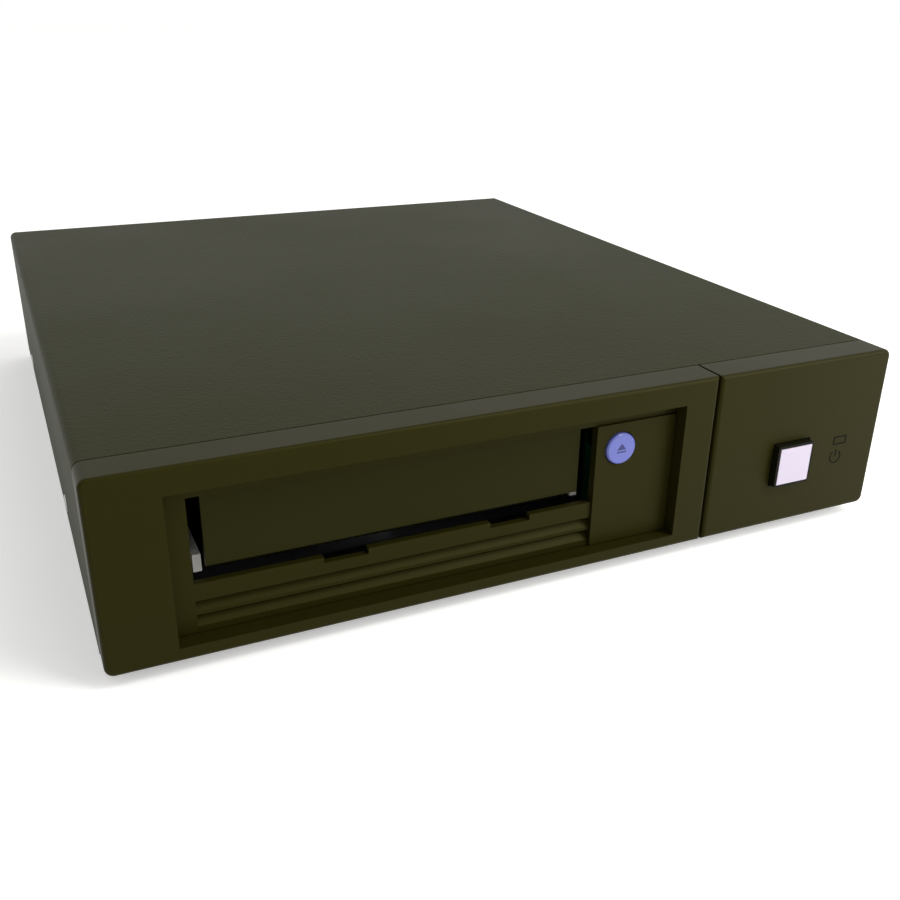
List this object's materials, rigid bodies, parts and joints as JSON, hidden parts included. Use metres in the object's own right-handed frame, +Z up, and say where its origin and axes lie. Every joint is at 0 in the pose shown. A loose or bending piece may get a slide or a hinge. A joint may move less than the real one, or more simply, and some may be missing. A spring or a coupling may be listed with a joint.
{
  "type": "data tape drive",
  "caption": "Low desktop tape drive in a painted steel case: notched cartridge slot with inward door, round unload button, square power button, fan, ports and inlet at the rear.",
  "frame": {"origin": "on the surface the feet stand on, below the middle of the bounding box", "axes": "+Z up, +Y from the front face to the rear, +X to the right seen from the front"},
  "size_m": [0.245, 0.28, 0.058],
  "materials": {
    "painted_steel": "fine textured warm charcoal paint",
    "zinc_steel": "zinc-plated sheet",
    "front_plastic": "fine-grained moulded charcoal",
    "black_plastic": "satin moulded black",
    "white_plastic": "smooth moulded white",
    "blue_plastic": "smooth pale violet-blue",
    "lens_plastic": "satin milky white",
    "cast_aluminium": "fine die-cast",
    "bright_steel": "turned or drawn",
    "grey_plastic": "moulded grey",
    "rubber": "matt moulded",
    "circuit_board": "green solder resist",
    "tinned_steel": "tin-plated pressed sheet",
    "brass_contact": "plated"
  },
  "bodies": {
    "enclosure": {"base_tray": "zinc_steel", "top_cover": "painted_steel", "front_bezel_left": "front_plastic", "front_bezel_right": "front_plastic", "rubber_feet": "rubber", "cover_screws": "bright_steel", "data_ports": "tinned_steel", "port_contacts": "black_plastic", "port_board": "circuit_board", "mains_inlet": "black_plastic", "inlet_pins": "brass_contact", "fan_frame": "black_plastic", "fan_screws": "bright_steel", "power_supply_case": "zinc_steel", "power_supply_lid": "zinc_steel", "supply_board": "circuit_board", "supply_components": "grey_plastic", "drive_face": "front_plastic", "unload_switch": "black_plastic", "indicator_board": "circuit_board", "power_switch": "black_plastic", "power_board": "circuit_board", "drive_base": "cast_aluminium", "drive_top_plate": "zinc_steel", "loading_motor": "bright_steel", "hub_motor": "bright_steel", "reel_motor": "bright_steel", "roller_pins": "bright_steel", "head_frame": "bright_steel", "threader_pivot": "bright_steel", "logic_board": "circuit_board", "board_chips": "black_plastic", "drive_connectors": "black_plastic", "data_lead": "black_plastic", "power_lead": "grey_plastic", "drive_bracket_left": "zinc_steel", "drive_bracket_right": "zinc_steel", "bracket_screws": "bright_steel"},
    "door": {"cartridge_door": "black_plastic"},
    "unload_button": {"unload_button": "blue_plastic"},
    "power_button": {"power_button_cap": "black_plastic", "power_button_lens": "lens_plastic"},
    "carrier": {"cartridge_carrier": "black_plastic", "carrier_guides": "white_plastic"},
    "slider": {"cam_slider": "bright_steel"},
    "loading_gear": {"loading_gear": "white_plastic"},
    "supply_hub": {"supply_hub": "grey_plastic"},
    "take_up_reel": {"take_up_reel": "black_plastic"},
    "roller_1": {"guide_roller_1": "cast_aluminium"},
    "roller_2": {"guide_roller_2": "cast_aluminium"},
    "roller_3": {"guide_roller_3": "cast_aluminium"},
    "roller_4": {"guide_roller_4": "cast_aluminium"},
    "head": {"head_carriage": "grey_plastic"},
    "threader": {"threader_arm": "bright_steel"},
    "fan": {"fan_rotor": "black_plastic"}
  },
  "joints": [
    {"name": "door_hinge", "type": "hinge", "parent": "enclosure", "child": "door", "pos_m": [-0.0404, -0.129, 0.0471], "axis": [1, 0, 0], "range_deg": [0, 85], "stiffness_Nm_per_rad": 0.0006, "springref_deg": -34.38},
    {"name": "unload_press", "type": "slide", "parent": "enclosure", "child": "unload_button", "axis": [0, 1, 0], "range_m": [0, 0.001], "stiffness_N_per_m": 600, "springref_m": -0.0003},
    {"name": "power_press", "type": "slide", "parent": "enclosure", "child": "power_button", "axis": [0, 1, 0], "range_m": [0, 0.002], "stiffness_N_per_m": 600, "springref_m": -0.0004},
    {"name": "cam_slide", "type": "slide", "parent": "enclosure", "child": "slider", "axis": [0, 1, 0], "range_m": [0, 0.012]},
    {"name": "carrier_drop", "type": "slide", "parent": "enclosure", "child": "carrier", "axis": [0, 0, 1], "range_m": [-0.0036, 0]},
    {"name": "loading_gear_spin", "type": "hinge", "parent": "enclosure", "child": "loading_gear", "pos_m": [0.0289, -0.075, 0.0145], "axis": [0, 0, 1], "range_deg": [-108, 1]},
    {"name": "supply_hub_spin", "type": "hinge", "parent": "enclosure", "child": "supply_hub", "pos_m": [-0.0404, -0.0785, 0.017], "axis": [0, 0, 1], "continuous": true},
    {"name": "take_up_reel_spin", "type": "hinge", "parent": "enclosure", "child": "take_up_reel", "pos_m": [-0.0567, 0.0275, 0.03], "axis": [0, 0, 1], "continuous": true},
    {"name": "roller_1_spin", "type": "hinge", "parent": "enclosure", "child": "roller_1", "pos_m": [-0.0047, -0.0105, 0.03], "axis": [0, 0, 1], "continuous": true},
    {"name": "roller_2_spin", "type": "hinge", "parent": "enclosure", "child": "roller_2", "pos_m": [0.0113, -0.0045, 0.03], "axis": [0, 0, 1], "continuous": true},
    {"name": "roller_3_spin", "type": "hinge", "parent": "enclosure", "child": "roller_3", "pos_m": [0.0113, 0.0355, 0.03], "axis": [0, 0, 1], "continuous": true},
    {"name": "roller_4_spin", "type": "hinge", "parent": "enclosure", "child": "roller_4", "pos_m": [-0.0067, 0.0495, 0.03], "axis": [0, 0, 1], "continuous": true},
    {"name": "head_step", "type": "slide", "parent": "enclosure", "child": "head", "axis": [0, 0, 1], "range_m": [-0.003, 0.003]},
    {"name": "threader_swing", "type": "hinge", "parent": "enclosure", "child": "threader", "pos_m": [-0.0187, 0.0175, 0.0395], "axis": [0, 0, 1], "range_deg": [0, 215]},
    {"name": "fan_spin", "type": "hinge", "parent": "enclosure", "child": "fan", "pos_m": [0.0095, 0.129, 0.0265], "axis": [0, 1, 0], "continuous": true}
  ],
  "couplings": [
    {"joint": "carrier_drop", "follows": "cam_slide", "ratio": -0.3},
    {"joint": "loading_gear_spin", "follows": "cam_slide", "rad_per_m": -156.25}
  ]
}
